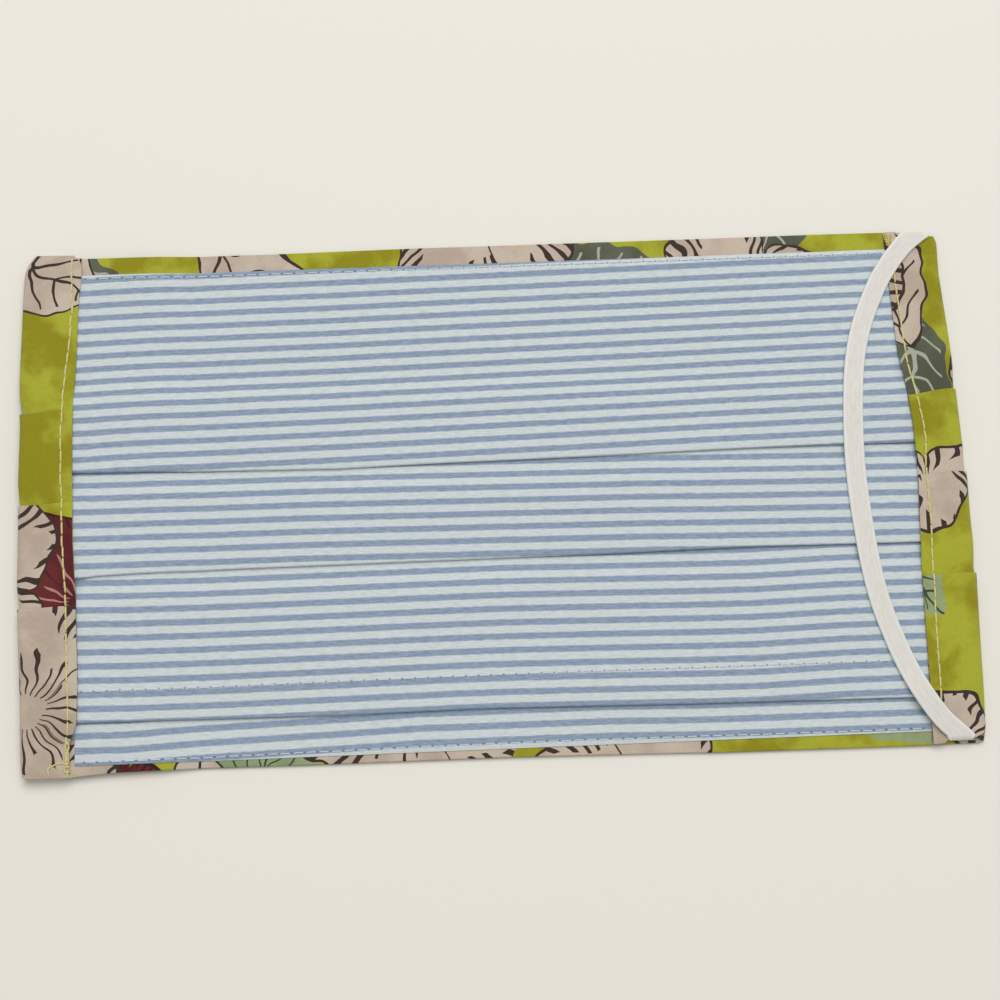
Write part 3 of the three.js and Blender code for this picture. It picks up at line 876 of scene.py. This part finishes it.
# Route of a loop outside its casing, X and Y from the top end
ROUTE = [(87.8, 50.8), (85.9, 48.8), (83.6, 45.9), (80.5, 40.9), (76.6, 31.9), (74.3, 22.0), (73.2, 9.0),
         (73.3, -4.0), (75.0, -21.0), (78.0, -32.5), (81.6, -41.5), (85.6, -48.0)]
# Height of the elastic's middle inside the casing, by Y
TUNNEL = [(53.2, 0.68), (34, 0.68), (26, 0.86), (20, 1.12), (-44, 1.12), (-48, 0.84), (-53.2, 0.70)]
# Length beside the casing's ends over which the band turns square to them
MITRE = 3.5
# Points inside the casing and round each of its ends, and their spacing along the route
BAND = {"inside": 60, "round": 14, "spacing": 0.8}
# Y of the casing's ends, where the bands fold
TURN_Y = {"right": 52.1, "left": 51.6}


def elastic_section(points_across=7):
    """Rounded, ribbed outline of the elastic: place across, height, share of the width."""
    w, t, ribs = ELASTIC["width"], ELASTIC["thick"], ELASTIC["ribs"]
    rows = []
    for side in (1, -1):
        for k in range(ribs * points_across):
            share = (k + 0.5) / (ribs * points_across)
            bulge = abs(sin(pi * share * ribs)) ** 0.5
            rim = min(1.0, sin(pi * share) * 3.2) ** 0.5
            height = (t / 2 - ELASTIC["rib"] + ELASTIC["rib"] * bulge) * rim
            across_w = (share - 0.5) * w * side
            rows.append((across_w, height * side, share if side > 0 else 1 - share))
    return np.array(rows)


def ear_loop(name, sign, turn_y, tops):
    """A closed band through the casing, round its end, along the route and back in at the other end.

    Where it folds over the end its cross-section stays along X. tops gives the height of the band's
    middle at points of the route.
    """
    x0 = ELASTIC["x"]

    def tunnel(y):
        return float(table(TUNNEL, y) + drape(np.array([sign * x0]), np.array([y]))[0])

    inside_y = np.linspace(-turn_y, turn_y, BAND["inside"])[1:-1]
    stops = [((x0, y, tunnel(y)), (1, 0, 0)) for y in inside_y]
    plan = curve_through([(x0, turn_y)] + ROUTE + [(x0, -turn_y)], BAND["spacing"])
    tangent = unit(np.gradient(plan, axis=0))
    heights = tops(plan, tangent)
    along_plan = run_of(plan)
    from_end = np.minimum(along_plan, along_plan[-1] - along_plan)

    def turn(e, over, end_width):
        rows = []
        inside = tunnel(e * turn_y)
        radius = (over - inside) / 2
        for i in range(BAND["round"] + 1):
            t = i / BAND["round"] if e > 0 else 1 - i / BAND["round"]
            height = inside + radius * (1 - cos(pi * t))
            y = e * (turn_y + abs(radius) * sin(pi * t))
            rows.append(((x0, y, height), (1 + (end_width - 1) * t, 0, 0)))
        return rows

    across_band = np.stack([-tangent[:, 1], tangent[:, 0]], -1)
    mitre = smooth(1 - from_end / MITRE)[:, None]
    widths = across_band * (1 - mitre)
    widths[:, :1] += mitre / np.maximum(np.abs(across_band[:, :1]), 0.6) * np.sign(across_band[:, :1])
    stops += turn(1, heights[0], abs(widths[0, 0]))
    for p, w, z in zip(plan[1:-1], widths[1:-1], heights[1:-1]):
        stops.append(((p[0], p[1], z), (w[0], w[1], 0)))
    stops += turn(-1, heights[-1], abs(widths[-1, 0]))
    centre, wide = (np.array(rows, float) for rows in zip(*stops))
    for _ in range(2):
        wide = (np.roll(wide, 1, 0) + 2 * wide + np.roll(wide, -1, 0)) / 4
    along = np.roll(centre, -1, 0) - np.roll(centre, 1, 0)
    thick = unit(np.cross(along, wide))
    outline = elastic_section()
    rings = centre[:, None] + wide[:, None] * outline[None, :, :1] + thick[:, None] * outline[None, :, 1:2]
    rings[..., 0] *= sign
    n, m = rings.shape[:2]
    grid = np.arange(n * m).reshape(n, m)
    a, b = grid, np.roll(grid, -1, 0)
    faces = np.stack([a, np.roll(a, -1, 1), np.roll(b, -1, 1), b], -1).reshape(-1, 4)
    if sign > 0:
        faces = faces[:, ::-1]
    values = np.zeros((n, m, 3))
    values[..., 0] = run_of(centre)[:, None]
    values[..., 1] = outline[None, :, 2]
    return piece(name, rings.reshape(-1, 3), faces.tolist(), {"flat": values})


def over_cloth(plan, tangent):
    """Heights of the middle of a band that lies on the cloth."""
    side = np.stack([-tangent[:, 1], tangent[:, 0]], -1)
    z = np.full(len(plan), -1.0)
    for share in (-0.5, -0.25, 0, 0.25, 0.5):
        q = plan + side * ELASTIC["width"] * share
        z = np.maximum(z, [top_at(a, b) for a, b in q])
    return settle(z, SETTLE["bridge"]) + ELASTIC["thick"] / 2 + ELASTIC["air"]


def on_floor(plan, _):
    """Heights of the middle of a band that lies on the floor."""
    return np.full(len(plan), ELASTIC["thick"] / 2)


loop_right = ear_loop("elastic_loop_right", 1, TURN_Y["right"], over_cloth)
loop_left = ear_loop("elastic_loop_left", -1, TURN_Y["left"], on_floor)
elastic = elastic_material()
for loop, node in ((loop_right, "ear_loop_right"), (loop_left, "ear_loop_left")):
    loop.data.materials.append(elastic)
    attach(loop, "root")
    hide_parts(node)


# Stitches

# Radius of a thread's end, as a share of the thread's
THREAD_END = 0.55
# Places along a stitch where its strand has a point
STITCH_POINTS = (0.0, 0.06, 0.2, 0.5, 0.8, 0.94, 1.0)


def threads(name, strands, radius, material, sides=6):
    """One mesh of round threads with closed ends, each strand a list of points."""
    points, faces, flat = [], [], []
    for strand in strands:
        p = np.array(strand, float)
        t = unit(np.gradient(p, axis=0))
        u = unit(np.cross(t, np.array([0, 0, 1.0])))
        v = np.cross(u, t)
        base = len(points)
        run = run_of(p)
        n = len(p)
        for i in range(n):
            r = radius * (THREAD_END if i in (0, n - 1) else 1.0)
            for k in range(sides):
                a = tau * k / sides
                points.append(p[i] + (u[i] * cos(a) + v[i] * sin(a)) * r)
                flat.append((run[i], k / sides, 0))
        a = base + np.arange(n * sides).reshape(n, sides)
        b = np.roll(a, -1, 1)
        faces += np.stack([a[:-1], b[:-1], b[1:], a[1:]], -1).reshape(-1, 4).tolist()
        faces += [a[0, ::-1].tolist(), a[-1].tolist()]
    o = piece(name, np.array(points), faces, {"flat": np.array(flat)})
    o.data.materials.append(material)
    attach(o, "root")


def seam(points, height, sense, gap, radius, seed, wander, vary):
    """Strands of a line of stitches along points in the plane.

    height gives the cloth's surface, and sense is 1 above the cloth and -1 under it.
    """
    rng = np.random.default_rng(seed)
    p = np.array(points, float)
    run = run_of(p)
    strands = []
    s = 0.0
    while s + STITCH < run[-1]:
        this = STITCH * (1 + vary * (rng.random() - 0.5))
        side = wander * (rng.random() - 0.5)
        strand = []
        for t in STITCH_POINTS:
            q = s + gap / 2 + (this - gap) * t
            x, y = np.interp(q, run, p[:, 0]), np.interp(q, run, p[:, 1])
            lift = radius * (0.75 - 2.6 * abs(2 * t - 1) ** 6)
            strand.append((x + side, y + side, height(x, y) + sense * lift))
        strands.append(strand)
        s += this
    return strands


def lining_line(seam):
    """Points of one line of stitches on the lining."""
    points = []
    for x in np.linspace(seam["from"], seam["to"], 80):
        if "inset" in seam:
            y = float(across(LINING_TOP, x) - seam["inset"])
        else:
            y = seam["y"] + seam["waver"] * cos(x / seam["spread"])
        points.append((x, y))
    return points


white_thread, yellow_thread = thread_material("white"), thread_material("yellow")
gold_thread, olive_thread = thread_material("gold"), thread_material("olive")

top_line, middle_line, bottom_line = map(lining_line, LINING_SEAMS.values())
stitch_sets = {
    "stitches_lining_top": (top_line, top_at, 1, white_thread, 0.12),
    "stitches_lining_bottom": (bottom_line, top_at, 1, white_thread, 0.12),
    "stitches_lining_middle": (middle_line, top_at, 1, white_thread, 0.11),
    "stitches_front_top": (top_line, under_at, -1, olive_thread, 0.12),
    "stitches_front_bottom": (bottom_line, under_at, -1, olive_thread, 0.12),
}
# Half height, number of points and thread radius of the lines along the casings
CASING_LINE = {"half": 52.0, "points": 90, "radius": 0.19}
for side, sign in (("left", -1), ("right", 1)):
    ys = np.linspace(CASING_LINE["half"], -CASING_LINE["half"], CASING_LINE["points"])
    rows = [(sign * float(table(SEAM[side], y)), y) for y in ys]
    stitch_sets["stitches_casing_" + side] = (rows, top_at, 1, yellow_thread, CASING_LINE["radius"])
    stitch_sets["stitches_front_" + side] = (rows, under_at, -1, yellow_thread, CASING_LINE["radius"])

# Gap between stitches, and how much their length and place vary
SEWN = {"casing": {"gap": 0.12, "vary": 0.25, "wander": 0.22},
        "lining": {"gap": 0.6, "vary": 0.0, "wander": 0.08}}
for k, (name, (rows, height, sense, material, radius)) in enumerate(stitch_sets.items()):
    sewn = SEWN["casing" if material is yellow_thread else "lining"]
    strands = seam(rows, height, sense, radius=radius, seed=k, **sewn)
    threads(name, strands, radius, material)


def laid(points, step=0.35, lift=0.12):
    """A strand that lies on the cloth along a smooth curve through points."""
    return [(x, y, top_at(x, y, 0.1) + lift) for x, y in curve_through(points, step)]


# Bar tack at the top of the right casing: a zigzag over one straight strand
TACK = {"x": 84.3, "top": 52.9, "bottom": 50.4, "half": 0.62, "pitch": 0.42, "radius": 0.17}
zigzag = []
for k in range(int((TACK["top"] - TACK["bottom"]) / TACK["pitch"]) * 2):
    y = TACK["top"] - k * TACK["pitch"] / 2
    zigzag.append((TACK["x"] + TACK["half"] * (1 if k % 2 else -1), y))
tack = [laid(zigzag, 0.3, 0.16), laid([(84.1, 53.0), (84.5, 51.6), (84.2, 50.2)], 0.3, 0.3)]
threads("stitches_tack_right", tack, TACK["radius"], gold_thread)

# Knot at the bottom of the left casing, with two threads that come down to it and two loose ends
KNOT = {"x": -85.6, "y": -51.7, "across": 0.5, "along": 0.55, "from": 0.6, "to": 7.4, "points": 14,
        "radius": 0.16}
knot = [(KNOT["x"] + KNOT["across"] * cos(a), KNOT["y"] + KNOT["along"] * sin(a))
        for a in np.linspace(KNOT["from"], KNOT["to"], KNOT["points"])]
tails = [
    laid([(-85.5, -46.2), (-85.2, -47.6), (-85.7, -48.8), (-85.3, -50.0), (-85.7, -51.2)], 0.35, 0.30),
    laid([(-85.6, -46.4), (-85.9, -47.8), (-85.3, -48.9), (-85.8, -50.2), (-85.4, -51.4)], 0.35, 0.16),
    laid([(-85.8, -50.9), (-86.2, -50.5), (-87.1, -50.4), (-88.1, -50.8), (-89.2, -51.5), (-89.0, -52.8)]),
    laid([(-85.6, -52.2), (-85.4, -52.9), (-84.8, -53.2), (-84.0, -52.1)]),
    laid(knot, 0.3, 0.28),
]
threads("thread_ends_left", tails, KNOT["radius"], yellow_thread)

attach(outer, "root")
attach(inner, "root")
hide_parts("outer_cloth")
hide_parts("lining")


# Floor and light

# The floor's measures are in mm, and the lamp's in metres and watts
FLOOR = {"half": 1600.0, "z": -0.3}
KEY_LIGHT = {"place": (0.05, 0.50, 1.15), "size": 1.1, "power": 10.2}
WORLD_STRENGTH = 0.45


def floor():
    """A pale plain floor just under the mask."""
    half, z = FLOOR["half"], FLOOR["z"]
    corners = np.array([(-half, -half, z), (half, -half, z), (half, half, z), (-half, half, z)])
    o = piece("floor", corners, [(0, 1, 2, 3)], {})
    o.data.materials.append(Nodes("floor_paint").finish(srgb(*FLOOR_COLOUR), rough=0.95, sheen=0.0))


def key_light():
    """One large soft lamp that points at the mask."""
    data = bpy.data.lights.new("key", "AREA")
    data.shape, data.size, data.energy = "DISK", KEY_LIGHT["size"], KEY_LIGHT["power"]
    o = add("key", data)
    o.location = KEY_LIGHT["place"]
    o.rotation_euler = (-Vector(KEY_LIGHT["place"])).to_track_quat("-Z", "Y").to_euler()


floor()
key_light()
world = bpy.data.worlds.new("world")
world.use_nodes = True
world.node_tree.nodes["Background"].inputs[0].default_value = (1, 1, 1, 1)
world.node_tree.nodes["Background"].inputs[1].default_value = WORLD_STRENGTH
bpy.context.scene.world = world
bpy.context.scene.view_settings.view_transform = "Standard"
